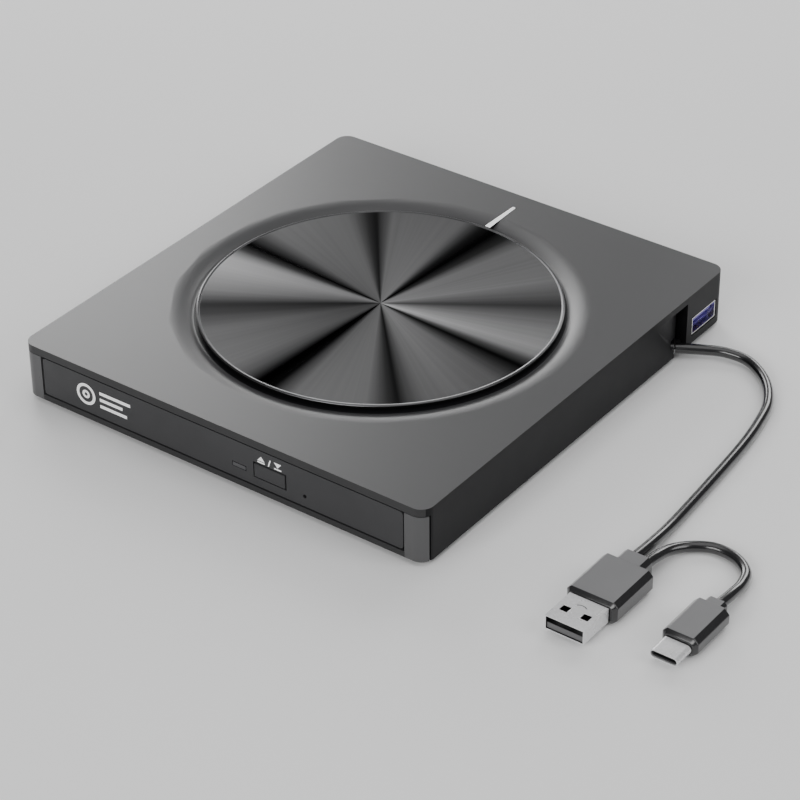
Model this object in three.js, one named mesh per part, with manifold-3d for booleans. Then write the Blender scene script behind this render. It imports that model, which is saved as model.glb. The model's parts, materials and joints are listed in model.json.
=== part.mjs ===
// External slim optical drive: a flat two-part housing with a spun metal disc in a round
// recess on the lid, a tray-loading drive inside it, a USB-A socket in its right wall, and a
// short captive lead that ends in a USB-A plug with a USB-C plug on a tail.
//
// Millimetres, +Z up. The origin is on the table under the middle of the housing.
// The tray opens towards -Y, and the lead leaves through the right wall, at +X.

import * as THREE from "three";
import { mergeVertices } from "three/addons/utils/BufferGeometryUtils.js";
import { ConvexGeometry } from "three/addons/geometries/ConvexGeometry.js";
import Module from "manifold-3d";

const wasm = await Module();
wasm.setup();

// ---------------------------------------------------------------- driving dimensions

const WIDTH = 143; // housing, along X
const DEPTH = 153; // housing, along Y
const CORNER_R = 4; // housing corners, seen from above
const FOOT_H = 1.4; // how far the feet lift the housing
const DECK_Z = 18.8; // top face of the lid
const WALL = 1.8; // housing walls
const GAP = 0.3; // between neighbouring pieces
const SNUG = 0.1; // between flat faces that rest on each other
const PAST = 1; // how far a cutting shape runs past the face it cuts
const ROOT = 0.5; // how far a rib or post starts inside the wall it grows from

const HALF_W = WIDTH / 2;
const HALF_D = DEPTH / 2;
const FLOOR_Z = FOOT_H + WALL; // inside of the bottom cover
const LIP_Z = 16.3; // lower edge of the lid's front lip
const DECK_UNDER_Z = 16.35; // underside of the deck
const COLUMN_BACK_Y = -HALF_D + 2.5; // back of the front corner columns
const MOUTH_HALF_W = 64.7; // front opening of the housing, each side of the middle

// Lid ornament
const DISC_R = 54; // spun disc
const DISC_TOP_Z = 19.2;
const DISC_T = 1.0;
const MOAT_FLOOR_Z = 17.0;
const MOAT_FLAT_R = 54.8; // the moat's floor ends here
const MOAT_R = 62.4; // the moat blends into the deck here
const POINTER_Y = [54.6, 69.2]; // ends of the pointer window
const POINTER_W = [1.9, 1.1]; // its width at those ends

// Feet and case screws
const FOOT_R = 5;
const FOOT_X = 56;
const FOOT_Y = 64;
const FOOT_RECESS = 0.5;
const SCREW_X = 66.8;
const SCREW_Y = 10;
const SCREW_POST_R = 2.3;
const SCREW_BORE_R = 1.15;
const SCREW_SHANK_R = 0.85;
const SCREW_HEAD_R = 2.0;
const SCREW_HEAD_Z = [1.6, 2.4];
const SCREW_TOP_Z = 10;
const LABEL_X = [-34, 34]; // shallow recess for a label, under the housing
const LABEL_Y = [-24, 20];
const LABEL_DEPTH = 0.25;

// Slim drive
const DRIVE_HALF_W = 64;
const DRIVE_Y = [-71, 51.5];
const DRIVE_Z = [3.4, 16.1];
const SHEET = 0.8; // the drive's steel sheet
const HUB_Y = -10.6; // spindle axis, on the middle plane
const DISC_BAY_R = 60.2; // recess for a 120 mm disc
const SMALL_BAY_R = 40.5; // recess for an 80 mm disc
const TRAY_HALF_W = 62.4;
const TRAY_Y = [-71.8, 44];
const TRAY_PLATE_Z = 8.1; // underside of the tray's plate
const DISC_FLOOR_Z = 9.9; // floor of the 120 mm recess
const SMALL_FLOOR_Z = 9.2; // floor of the 80 mm recess
const TRAY_RIM_Z = 11.3;
const SKIRT_Z = 4.6; // lowest edge of the tray
const RAIL_Z = [5.5, 6.7]; // sliding rails
const CHANNEL_Z = [5.2, 7.0]; // clear height of the channels that hold them
const BEZEL_Y = [-76.3, -73.8];
const BUTTON_X = [13.5, 24.3];
const BUTTON_Z = [6.6, 11.1];
const PINHOLE_X = 31;
const PINHOLE_Z = 7.0;
const LATCH_PIVOT = [47, -52];
const LATCH_PIN = [52, -64]; // pin on the pan that the lever hooks
const LATCH_Z = [5.9, 7.2];
const EJECT_ROD = [-40, 6.5]; // X and Z of the spring rod that pushes the tray out
const THROUGH = [0, 20]; // from below the drive to above it
const BOARD_T = 0.8;
const SATA_X = [-46, -14]; // drive's connector, at the rear
const FLEX_X = [-30, -10]; // ribbon between the fixed board and the tray

// Spindle, about the hub axis
const MOTOR_R = 11;
const FLANGE_R = 14.6;
const FLANGE_Z = [8.6, 9.6];
const NOSE_R = 7.3;
const NOSE_TOP_Z = 12.4;
const RING_R = [11.6, 14]; // rubber ring that grips the disc
const RING_Z = [9.7, 10.1];
const CLAW_COUNT = 3;
const CLAW_R = [5.1, 7.7]; // reach of a clamp claw from the axis
const CLAW_Z = [10.8, 11.7];
const CLAW_HALF_W = 1.5;
const SPINDLE_CLEAR_R = 15.8; // round opening that the turntable turns in

// Pickup mechanism, in its own frame: U runs from the spindle towards the tray's front left
// corner, and T across it
const MECH_ANGLE = 1.25 * Math.PI;
const LENS_U = 23; // lens at rest, at the disc's inner tracks
const ROD_T = 17; // guide rods, each side of the lens
const SCREW_T = -21; // lead screw
const ROD_Z = 6.6;
const ROD_R = 1;
const ROD_U = [5.5, 59.6];
const LEAD_SCREW_R = 1.15;
const LEAD_SCREW_U = [9.8, 52];
const SLED_U = [17.5, 29];
const SLED_HALF_W = 12;
const SLED_Z = [5.4, 8.4];
const LENS_WELL = [3.6, 5.1]; // half the opening in the sled, along U and T
const LENS_HOLDER = [3, 4.5]; // half the lens holder

// Right wall: socket, thumb scoop and lead
const PORT_Y = 65.1;
const PORT_Z = 7.1;
const PORT_HALF_W = 6.55; // the socket's metal shell
const PORT_HALF_H = 2.85;
const PORT_INNER_X = 57.3;
const PORT_SHEET = 0.35;
const SLOT_Y = [52.9, 55.3]; // deep slot beside the socket
const SLOT_DEPTH = 4;
const SCOOP_TOP = [37.5, 16.6]; // upper end of the scoop's slanted edge, as Y and Z
const SCOOP_FOOT = [49.7, 1.0]; // its lower end
const SCOOP_DEPTH = 2.8;
const BLOCK_X = 64.9; // inner face of the solid block behind the scoop
const BLOCK_Y = [35, 57];
const LEAD_R = 1.6;
const LEAD_SIDES = 8;
const LEAD_EXIT = [70.3, 50.6, 3.4]; // outer end of the strain relief
const LEAD_HEADING = Math.atan2(3.3, 5.6); // the lead leaves the wall at this angle to +X

// Plugs, lying on the table
const PLUG_A_X = 118;
const PLUG_A_MID_Z = 3.5;
const PLUG_A_GRIP = { halfWidth: 7.9, chamfer: 1.5, along: [-67.7, -49.4] };
const PLUG_A_NECK = { halfWidth: 4.4, chamfer: 1.2, along: [-49.8, -44.4] };
const PLUG_A_SHELL_Y = [-79.7, -68];
const PLUG_A_SHEET = 0.35;
const PLUG_C_X = 144.4;
const PLUG_C_MID_Z = 3.0;
const PLUG_C_GRIP = { halfWidth: 5.4, chamfer: 1.6, along: [-67, -50.4] };
const PLUG_C_NECK = { halfWidth: 3, chamfer: 1, along: [-51, -47.5] };
const PLUG_C_SHELL_Y = [-73.9, -67.3];

// Routes of the lead and of its tail, from the housing outwards.
const LEAD_ROUTE = [
  [70.6, 50.8, 3.4],
  [73.4, 52.5, 3.3],
  [76.8, 54.7, 3.1],
  [82.9, 58.3, 2.6],
  [89.6, 59.2, 2.1],
  [95.7, 56.6, 1.75],
  [101.8, 51.0, 1.65],
  [106.8, 42.5, 1.65],
  [109.5, 32.4, 1.65],
  [111.3, 21.7, 1.65],
  [112.8, 6.6, 1.65],
  [114.3, -11.7, 1.65],
  [115.2, -24.0, 1.8],
  [115.8, -34.0, 2.7],
  [115.9, -43.8, 3.4],
];
const TAIL_ROUTE = [
  [119.9, -43.8, 3.4],
  [120.2, -39.5, 3.2],
  [121.2, -33.6, 2.5],
  [124.4, -28.3, 1.8],
  [130.1, -24.9, 1.65],
  [137.2, -25.6, 1.65],
  [142.4, -29.6, 1.75],
  [144.4, -35.4, 2.2],
  [144.7, -40.6, 2.8],
  [144.4, -47.2, 3.0],
];

// ---------------------------------------------------------------- solids

// A closed geometry as a manifold-3d solid.
function solid(geometry) {
  const bare = new THREE.BufferGeometry();
  bare.setAttribute("position", geometry.getAttribute("position").clone());
  if (geometry.index) bare.setIndex(geometry.index.clone());
  const merged = mergeVertices(bare, 1e-4);
  return new wasm.Manifold(
    new wasm.Mesh({
      numProp: 3,
      vertProperties: merged.attributes.position.array,
      triVerts: new Uint32Array(merged.index.array),
    }),
  );
}

function geometryOf(manifold) {
  const mesh = manifold.getMesh();
  const geometry = new THREE.BufferGeometry();
  geometry.setAttribute("position", new THREE.BufferAttribute(mesh.vertProperties, 3));
  geometry.setIndex(new THREE.BufferAttribute(mesh.triVerts, 1));
  return geometry;
}

const join = (...parts) =>
  geometryOf(parts.map(solid).reduce((whole, part) => whole.add(part)));

const cut = (body, ...tools) =>
  geometryOf(tools.map(solid).reduce((left, tool) => left.subtract(tool), solid(body)));

const common = (a, b) => geometryOf(solid(a).intersect(solid(b)));

// A box between two values of X, of Y and of Z, in either order.
function box(x, y, z) {
  const [width, depth, height] = [x, y, z].map(([a, b]) => Math.abs(b - a));
  const middle = [x, y, z].map(([a, b]) => (a + b) / 2);
  return new THREE.BoxGeometry(width, depth, height).translate(...middle);
}

// An upright cylinder.
function post(radius, [z0, z1], x = 0, y = 0, sides = 24) {
  const geometry = new THREE.CylinderGeometry(radius, radius, z1 - z0, sides);
  return geometry.rotateX(Math.PI / 2).translate(x, y, (z0 + z1) / 2);
}

// Cylinders along X and along Y.
function rodX(radius, [x0, x1], y, z, sides = 12) {
  const geometry = new THREE.CylinderGeometry(radius, radius, x1 - x0, sides);
  return geometry.rotateZ(Math.PI / 2).translate((x0 + x1) / 2, y, z);
}

function rodY(radius, x, [y0, y1], z, sides = 12) {
  const geometry = new THREE.CylinderGeometry(radius, radius, y1 - y0, sides);
  return geometry.translate(x, (y0 + y1) / 2, z);
}

// A flat outline in X and Y, raised from z0 to z1.
function slab(shape, [z0, z1], segments = 6) {
  const options = { depth: z1 - z0, bevelEnabled: false, curveSegments: segments };
  return new THREE.ExtrudeGeometry(shape, options).translate(0, 0, z0);
}

const polygon = (points) => new THREE.Shape(points.map(([x, y]) => new THREE.Vector2(x, y)));

// A rectangle with round corners, around the origin.
function roundRect(width, depth, radius) {
  const x = width / 2 - radius;
  const y = depth / 2 - radius;
  const shape = new THREE.Shape();
  shape.absarc(x, y, radius, 0, Math.PI / 2);
  shape.absarc(-x, y, radius, Math.PI / 2, Math.PI);
  shape.absarc(-x, -y, radius, Math.PI, 1.5 * Math.PI);
  shape.absarc(x, -y, radius, 1.5 * Math.PI, 2 * Math.PI);
  shape.closePath();
  return shape;
}

// An outline in X and Z, run along Y.
function alongY(shape, [y0, y1], segments = 4) {
  const geometry = slab(shape, [0, y1 - y0], segments);
  return geometry.rotateX(Math.PI / 2).translate(0, y1, 0);
}

// A profile of [radius, z] points, turned about the Z axis.
const turned = (profile, sides = 64) =>
  new THREE.LatheGeometry(
    profile.map(([r, z]) => new THREE.Vector2(r, z)),
    sides,
  ).rotateX(Math.PI / 2);

// A round tube along a smooth curve through the points.
function tube(route, radius, steps) {
  // A closed curve is split into twice as many sides as its curve segments.
  const path = new THREE.CatmullRomCurve3(
    route.map((p) => new THREE.Vector3(...p)),
    false,
    "centripetal",
  );
  const section = new THREE.Shape();
  section.absarc(0, 0, radius, 0, 2 * Math.PI);
  const options = { steps, curveSegments: LEAD_SIDES / 2, bevelEnabled: false, extrudePath: path };
  return new THREE.ExtrudeGeometry(section, options);
}

// From the pickup mechanism's own frame to its place in the tray.
const inMech = (geometry) => geometry.rotateZ(MECH_ANGLE).translate(0, HUB_Y, 0);

// ---------------------------------------------------------------- finishes

const finish = (colour, roughness, metalness = 0) => ({ color: colour, roughness, metalness });

const FINISHES = {
  shell: finish(0x55565a, 0.38, 0.3),
  frame: finish(0x3b3c3f, 0.45),
  bezel: finish(0x2f3032, 0.45),
  spunMetal: finish(0x8c8c8e, 0.3, 1),
  blackPlastic: finish(0x141415, 0.6),
  white: finish(0xf4f4f2, 0.4),
  rubber: finish(0x101010, 0.9),
  steel: finish(0xa8abad, 0.35, 1),
  board: finish(0x1d4a32, 0.5),
  blue: finish(0x3a34a0, 0.4),
  lead: finish(0x1c1c1e, 0.25),
  plug: finish(0x6a6b6e, 0.4, 0.1),
  glass: finish(0x6f86b8, 0.05),
  copper: finish(0xb87b45, 0.4, 0.6),
};

const part = new THREE.Group();

function add(name, geometry, finishName) {
  const material = new THREE.MeshStandardMaterial(FINISHES[finishName]);
  const mesh = new THREE.Mesh(geometry, material);
  mesh.name = name;
  part.add(mesh);
}

// ---------------------------------------------------------------- housing

// The moat's section: steep beside the disc, and flatter and flatter up to the deck.
function moatRise(steps) {
  const points = [];
  for (let i = 0; i <= steps; i++) {
    const t = i / steps;
    const rise = t * (2 - t);
    const radius = MOAT_FLAT_R + t * (MOAT_R - MOAT_FLAT_R);
    points.push([radius, MOAT_FLOOR_Z + rise * (DECK_Z - MOAT_FLOOR_Z)]);
  }
  return points;
}

// What the moat takes away from the deck: a wide round dish.
function moatTool() {
  const above = DECK_Z + PAST;
  const floor = [0, MOAT_FLOOR_Z];
  return turned([floor, ...moatRise(6), [MOAT_R, above], [0, above], floor], 72);
}

// The pointer's outline, tapering away from the disc, grown by a margin.
function pointerOutline(margin) {
  const [near, far] = POINTER_Y;
  const [wide, narrow] = POINTER_W.map((w) => w / 2 + margin);
  return polygon([
    [-wide, near - margin],
    [wide, near - margin],
    [narrow, far + margin],
    [-narrow, far + margin],
  ]);
}

// The thumb scoop: nothing at its slanted edge, and deepest beside the socket.
function scoopTool() {
  const outside = HALF_W + PAST;
  const back = SLOT_Y[1];
  const points = [SCOOP_TOP, SCOOP_FOOT].flatMap(([y, z]) => [
    [HALF_W, y, z],
    [outside, y, z],
    [HALF_W - SCOOP_DEPTH, back, z],
    [outside, back, z],
  ]);
  return new ConvexGeometry(points.map((p) => new THREE.Vector3(...p)));
}

// The open passage that the lead leaves through, along the lead's heading.
function leadPassage() {
  const [x, y] = LEAD_EXIT;
  const passage = box([-5.4, 8], [-2.3, 2.3], [0, 5.7]);
  return passage.rotateZ(LEAD_HEADING).translate(x, y, 0);
}

function topShell() {
  const outline = roundRect(WIDTH, DEPTH, CORNER_R);
  const inside = roundRect(WIDTH - 2 * WALL, DEPTH - 2 * WALL, CORNER_R - WALL);
  const acrossAll = [-HALF_W - PAST, HALF_W + PAST];
  const mouth = box(acrossAll, [-HALF_D - PAST, COLUMN_BACK_Y + 0.5], [0, LIP_Z]);
  const shell = cut(slab(outline, [FOOT_H, DECK_Z]), slab(inside, [0, DECK_UNDER_Z]), mouth);
  const inDeck = DECK_UNDER_Z + ROOT;
  const block = box([BLOCK_X, HALF_W - WALL / 2], BLOCK_Y, [FLOOR_Z + GAP, inDeck]);
  const posts = [-1, 1].map((side) =>
    post(SCREW_POST_R, [FLOOR_Z + GAP, inDeck], side * SCREW_X, SCREW_Y, 16),
  );
  const boreZ = [0, SCREW_TOP_Z + PAST];
  const screwBores = [-1, 1].map((side) =>
    post(SCREW_BORE_R, boreZ, side * SCREW_X, SCREW_Y, 12),
  );
  const portY = [PORT_Y - PORT_HALF_W - GAP, PORT_Y + PORT_HALF_W + GAP];
  const portZ = [PORT_Z - PORT_HALF_H - GAP, PORT_Z + PORT_HALF_H + GAP];
  return cut(
    join(shell, block, ...posts),
    moatTool(),
    slab(pointerOutline(SNUG), [MOAT_FLOOR_Z, DECK_Z + PAST]),
    box([HALF_W - WALL - PAST, HALF_W + PAST], portY, portZ),
    scoopTool(),
    box([HALF_W - SLOT_DEPTH, HALF_W + PAST], SLOT_Y, [0, SCOOP_TOP[1] - GAP]),
    leadPassage(),
    ...screwBores,
  );
}

const footPlaces = () => [1, -1].flatMap((y) => [-1, 1].map((x) => [x * FOOT_X, y * FOOT_Y]));

// The floor of the housing, with the front rim and the two front corner columns in one piece.
function bottomCover() {
  const outline = roundRect(WIDTH, DEPTH, CORNER_R);
  const inset = WALL + GAP;
  const sunk = FLOOR_Z - ROOT;
  const inside = roundRect(WIDTH - 2 * inset, DEPTH - 2 * inset, CORNER_R - WALL);
  const plate = slab(inside, [FOOT_H, FLOOR_Z]);
  const front = box([-HALF_W, HALF_W], [-HALF_D - PAST, COLUMN_BACK_Y], [0, LIP_Z]);
  const frontOutline = common(slab(outline, [FOOT_H, LIP_Z - 0.2]), front);
  const mouth = box([-MOUTH_HALF_W, MOUTH_HALF_W], [-HALF_D - PAST, 0], [FLOOR_Z, LIP_Z]);
  // Ribs that hold the drive from the sides and from behind.
  const ribs = [-1, 1].flatMap((side) => {
    const near = side * (DRIVE_HALF_W + GAP);
    return [[-68, 4], [16, 33]].map((along) => box([near, near + side], along, [sunk, 12]));
  });
  const stop = box([-8, 30], [DRIVE_Y[1] + GAP, DRIVE_Y[1] + 1.3], [sunk, 10]);
  const boardPosts = [-45, 45].map((x) => post(2, [sunk, 4.5], x, 64, 12));
  const footHoles = footPlaces().map(([x, y]) =>
    post(FOOT_R + GAP, [0, FOOT_H + FOOT_RECESS + SNUG], x, y, 28),
  );
  const screwHoles = [-1, 1].flatMap((side) => [
    post(1.3, [0, 5], side * SCREW_X, SCREW_Y, 12),
    post(SCREW_HEAD_R + 0.4, [0, SCREW_HEAD_Z[1] + SNUG], side * SCREW_X, SCREW_Y, 16),
  ]);
  const labelRecess = box(LABEL_X, LABEL_Y, [0, FOOT_H + LABEL_DEPTH]);
  return cut(
    join(plate, cut(frontOutline, mouth), ...ribs, stop, ...boardPosts),
    ...footHoles,
    ...screwHoles,
    labelRecess,
    leadPassage(),
    box([HALF_W - SLOT_DEPTH, HALF_W], SLOT_Y, [0, 5]),
  );
}

function spunDisc() {
  const under = DISC_TOP_Z - DISC_T;
  const face = DISC_TOP_Z - 0.15; // the face lies a little below the bright rim
  const rim = DISC_R - 0.5;
  return turned(
    [
      [0, under],
      [DISC_R - 0.3, under],
      [DISC_R, under + 0.3],
      [DISC_R, DISC_TOP_Z - 0.3],
      [rim, DISC_TOP_Z],
      [rim - 0.4, face],
      [0, face],
    ],
    72,
  );
}

function housing() {
  add("top_shell", topShell(), "shell");
  add("bottom_cover", bottomCover(), "frame");
  add("spun_disc", spunDisc(), "spunMetal");
  const carrierZ = [MOAT_FLOOR_Z + SNUG, DISC_TOP_Z - DISC_T - SNUG];
  add("disc_carrier", post(DISC_R - 1.6, carrierZ, 0, 0, 64), "blackPlastic");
  add("pointer_window", slab(pointerOutline(0), [MOAT_FLOOR_Z + SNUG, DECK_Z + 0.05]), "white");
  const corners = ["rear_left", "rear_right", "front_left", "front_right"];
  footPlaces().forEach(([x, y], i) => {
    add(`foot_${corners[i]}`, post(FOOT_R, [0, FOOT_H + FOOT_RECESS], x, y, 28), "rubber");
  });
  for (const [name, side] of [["left", -1], ["right", 1]]) {
    const [under, shoulder] = SCREW_HEAD_Z;
    const profile = [
      [0, under],
      [SCREW_HEAD_R, under],
      [SCREW_HEAD_R, shoulder],
      [SCREW_SHANK_R, shoulder],
      [SCREW_SHANK_R, SCREW_TOP_Z],
      [0, SCREW_TOP_Z],
    ];
    add(`case_screw_${name}`, turned(profile, 12).translate(side * SCREW_X, SCREW_Y, 0), "steel");
  }
}

// ---------------------------------------------------------------- fixed half of the drive

function drivePan() {
  const [front, back] = DRIVE_Y;
  const across = [-DRIVE_HALF_W, DRIVE_HALF_W];
  const tub = box(across, [front, back], [DRIVE_Z[0], 15]);
  const hollow = box(
    [-DRIVE_HALF_W + SHEET, DRIVE_HALF_W - SHEET],
    [front - 1, back - SHEET],
    [DRIVE_Z[0] + SHEET, 16],
  );
  const rearStep = box(across, [back - 3, back + 1], [12, 16]);
  const connector = box([SATA_X[0] - 0.5, SATA_X[1] + 0.5], [back - 2, back + 1], [4.3, 9.6]);
  return cut(tub, hollow, rearStep, connector);
}

function driveCover() {
  const [front, back] = DRIVE_Y;
  const across = [-DRIVE_HALF_W, DRIVE_HALF_W];
  const sheet = box(across, [front, back], [DRIVE_Z[1] - SHEET, DRIVE_Z[1]]);
  return join(sheet, box(across, [back - SHEET, back], [12.3, DRIVE_Z[1] - 0.2]));
}

// The C-shaped channel fixed along one side of the pan.
function guide(side) {
  const [low, high] = CHANNEL_Z;
  const outline = [
    [60.2, low - 0.6],
    [62.9, low - 0.6],
    [62.9, high + 0.6],
    [60.2, high + 0.6],
    [60.2, high],
    [61.9, high],
    [61.9, low],
    [60.2, low],
  ];
  return alongY(polygon(outline.map(([x, z]) => [side * x, z])), [-69, 48]);
}

function fixedDrive() {
  add("drive_pan", drivePan(), "steel");
  add("drive_cover", driveCover(), "steel");
  add("guide_left", guide(-1), "steel");
  add("guide_right", guide(1), "steel");
  add("latch_pin", post(1.2, [4.3, LATCH_Z[1]], ...LATCH_PIN, 12), "steel");
  add("drive_board", box([-50, 10], [44.8, 50.2], [4.5, 4.5 + BOARD_T]), "board");
  add("flex_ribbon", box(FLEX_X, [-5, 44.5], [4.28, 4.43]), "copper");
  const plugFace = box([SATA_X[0] + 2, SATA_X[1] - 2], [49.8, 52], [6.2, 8.4]);
  const plug = box(SATA_X, [45.5, 51.3], [5.4, 9.2]);
  add("sata_connector", cut(plug, plugFace), "blackPlastic");
}

// ---------------------------------------------------------------- tray

function tray() {
  const [front, back] = TRAY_Y;
  const outline = roundRect(2 * TRAY_HALF_W, back - front, 1.5);
  const plate = slab(outline, [TRAY_PLATE_Z, TRAY_RIM_Z], 3).translate(0, (front + back) / 2, 0);
  const [low, high] = CHANNEL_Z;
  // Channels for the sliding rails, open outwards.
  const channels = [-1, 1].flatMap((side) => [
    box([side * 57, side * 58], [front + 1, back], [SKIRT_Z, TRAY_PLATE_Z + 0.4]),
    box([side * 57, side * 59.7], [front + 1, back], [SKIRT_Z, low]),
    box([side * 57, side * 59.7], [front + 1, back], [high, TRAY_PLATE_Z + 0.4]),
  ]);
  const frontWall = box([-58, 58], [front, front + 1], [SKIRT_Z, TRAY_PLATE_Z + 0.4]);
  const rodRib = box([-46, -34], [25, 26.5], [5.4, TRAY_PLATE_Z + 0.4]);
  const latchPost = post(0.9, [5.3, TRAY_PLATE_Z + 0.4], ...LATCH_PIVOT, 16);
  const window = join(
    inMech(box([0, 64.5], [-14, 14], THROUGH)),
    post(SPINDLE_CLEAR_R, THROUGH, 0, HUB_Y, 40),
  );
  return cut(
    join(plate, ...channels, frontWall, rodRib, latchPost),
    post(DISC_BAY_R, [DISC_FLOOR_Z, THROUGH[1]], 0, HUB_Y, 72),
    post(SMALL_BAY_R, [SMALL_FLOOR_Z, THROUGH[1]], 0, HUB_Y, 48),
    window,
    box([17.4, 20.4], [front - 1, front + 2], [6.4, 7.9]),
    rodY(0.8, PINHOLE_X, [front - 1, front + 2], PINHOLE_Z),
    rodY(0.9, EJECT_ROD[0], [24, 28], EJECT_ROD[1]),
  );
}

function trayBezel() {
  const [front, back] = BEZEL_Y;
  const face = slab(roundRect(128.4, 12.2, 1), [0, back - front], 4);
  const plate = face.rotateX(Math.PI / 2).translate(0, back, 9.7);
  const lugs = [-40, 40].map((x) => box([x - 6, x + 6], [back - 0.5, back + 1.6], [6, 10]));
  const buttonHole = box(
    [BUTTON_X[0] - 0.35, BUTTON_X[1] + 0.35],
    [front - 1, back + 1],
    [BUTTON_Z[0] - 0.35, BUTTON_Z[1] + 0.35],
  );
  return cut(
    join(plate, ...lugs),
    buttonHole,
    rodY(0.6, PINHOLE_X, [front - 1, back + 1], PINHOLE_Z, 16),
    box([5.6, 10.6], [front - 1, back + 1], [7.0, 8.6]),
  );
}

function ejectButton() {
  const cap = box(BUTTON_X, [-76.5, -74.6], BUTTON_Z);
  return join(cap, box([17.8, 20], [-75, -69.8], [6.8, 7.6]));
}

// The latch lever, swung clear of the pin on the drive's pan.
function latchLever() {
  const released = THREE.MathUtils.degToRad(-20);
  const eye = post(2.4, LATCH_Z, 0, 0, 20);
  const arm = box([-1, 1], [-10.3, 0], LATCH_Z);
  const hook = box([-1, 5.6], [-10.3, -8.5], LATCH_Z);
  const lever = cut(join(eye, arm, hook), post(1.1, THROUGH, 0, 0, 16));
  return lever.rotateZ(released).translate(...LATCH_PIVOT, 0);
}

function trayPieces() {
  add("tray", tray(), "blackPlastic");
  add("tray_bezel", trayBezel(), "bezel");
  add("led_lens", box([5.8, 10.4], [-76.35, -74.2], [7.2, 8.4]), "white");
  add("eject_button", ejectButton(), "bezel");
  add("eject_switch", box([16, 22], [-68.9, -66.5], [5.3, 7.8]), "blackPlastic");
  const belly = box([-56.6, 56.6], [TRAY_Y[0] + 1.4, TRAY_Y[1] - 0.4], [SKIRT_Z, SKIRT_Z + 0.4]);
  const pinPath = box([50.2, 53.8], [-66, 50], [4, 6]);
  add("tray_belly_plate", cut(belly, pinPath), "steel");
  add("main_board", box([16, 48], [0, 40], [5.3, 5.3 + BOARD_T]), "board");
  add("latch_lever", latchLever(), "steel");
  add("solenoid", box([26, 40], [-63, -55], [5.3, 7.8]), "copper");
  const [rodX0, rodZ] = EJECT_ROD;
  const rod = join(rodY(0.7, rodX0, [24.6, 43], rodZ), rodY(1.4, rodX0, [42.4, 43.6], rodZ));
  add("eject_rod", rod, "steel");
  const coil = cut(rodY(1.4, rodX0, [27, 42], rodZ, 16), rodY(0.95, rodX0, [20, 50], rodZ, 16));
  add("eject_spring", coil, "steel");
  for (const [name, side] of [["left", -1], ["right", 1]]) {
    add(`slide_rail_${name}`, box([side * 58.3, side * 61.6], [-68, 44], RAIL_Z), "steel");
  }
}

// ---------------------------------------------------------------- spindle and pickup

// One geometry for each claw, spaced evenly about the hub.
const perClaw = (make) =>
  Array.from({ length: CLAW_COUNT }, (_, i) => make().rotateZ((i * 2 * Math.PI) / CLAW_COUNT));

function turntable() {
  const [under, top] = FLANGE_Z;
  const profile = [
    [0, under],
    [FLANGE_R, under],
    [FLANGE_R, top],
    [NOSE_R, top],
    [NOSE_R, NOSE_TOP_Z - 0.6],
    [NOSE_R - 0.8, NOSE_TOP_Z],
    [0, NOSE_TOP_Z],
  ];
  const slotHalfW = CLAW_HALF_W + 0.4;
  const slots = perClaw(() => box([CLAW_R[0] - 0.8, 9], [-slotHalfW, slotHalfW], [10.5, 12]));
  return cut(turned(profile, 36), ...slots).translate(0, HUB_Y, 0);
}

function spindle() {
  add("spindle_motor", post(MOTOR_R, [5.3, 8.3], 0, HUB_Y, 32), "steel");
  add("turntable", turntable(), "blackPlastic");
  const [inner, outer] = RING_R;
  const [low, high] = RING_Z;
  const ring = turned([[inner, low], [outer, low], [outer, high], [inner, high], [inner, low]], 36);
  add("rubber_ring", ring.translate(0, HUB_Y, 0), "rubber");
  perClaw(() => box(CLAW_R, [-CLAW_HALF_W, CLAW_HALF_W], CLAW_Z)).forEach((claw, i) => {
    add(`clamp_claw_${i + 1}`, claw.translate(0, HUB_Y, 0), "steel");
  });
}

// The frame around the pickup: a rectangle with the tray's corner cut off it.
function pickupFrame() {
  const z = [5.3, 7.8];
  const corner = (inset) => box([-56.4 + inset, 60], [-70.3 + inset, 60], THROUGH);
  const outer = common(inMech(box([-13, 66], [-25, 20.6], z)), corner(0));
  const inner = common(inMech(box([9.5, 64.6], [-23.6, 19.3], THROUGH)), corner(1.4));
  const rods = [-ROD_T, ROD_T].map((t) => inMech(rodX(ROD_R + 0.15, [5, 70], t, ROD_Z)));
  const motorSeat = inMech(box([-14, 9.5], [-26, -17.4], THROUGH));
  return cut(outer, inner, ...rods, motorSeat, post(MOTOR_R + GAP, THROUGH, 0, HUB_Y, 32));
}

function sled() {
  const body = box(SLED_U, [-SLED_HALF_W, SLED_HALF_W], SLED_Z);
  const sides = [-1, 1].flatMap((side) => [
    box([12, 22], [side * 15, side * 18.8], [SLED_Z[0], 7.8]),
    box([SLED_U[0], 22], [side * (SLED_HALF_W - 1), side * 16], [5.6, 7.8]),
  ]);
  const follower = box([14, 18], [-19.4, -18], [5.8, 7.4]);
  const bores = [-ROD_T, ROD_T].map((t) => rodX(ROD_R + SNUG, [0, 40], t, ROD_Z));
  const [wellU, wellT] = LENS_WELL;
  return cut(
    join(body, ...sides, follower),
    ...bores,
    post(SPINDLE_CLEAR_R, THROUGH, 0, 0, 40),
    box([LENS_U - wellU, LENS_U + wellU], [-wellT, wellT], [6.1, THROUGH[1]]),
  );
}

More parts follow.
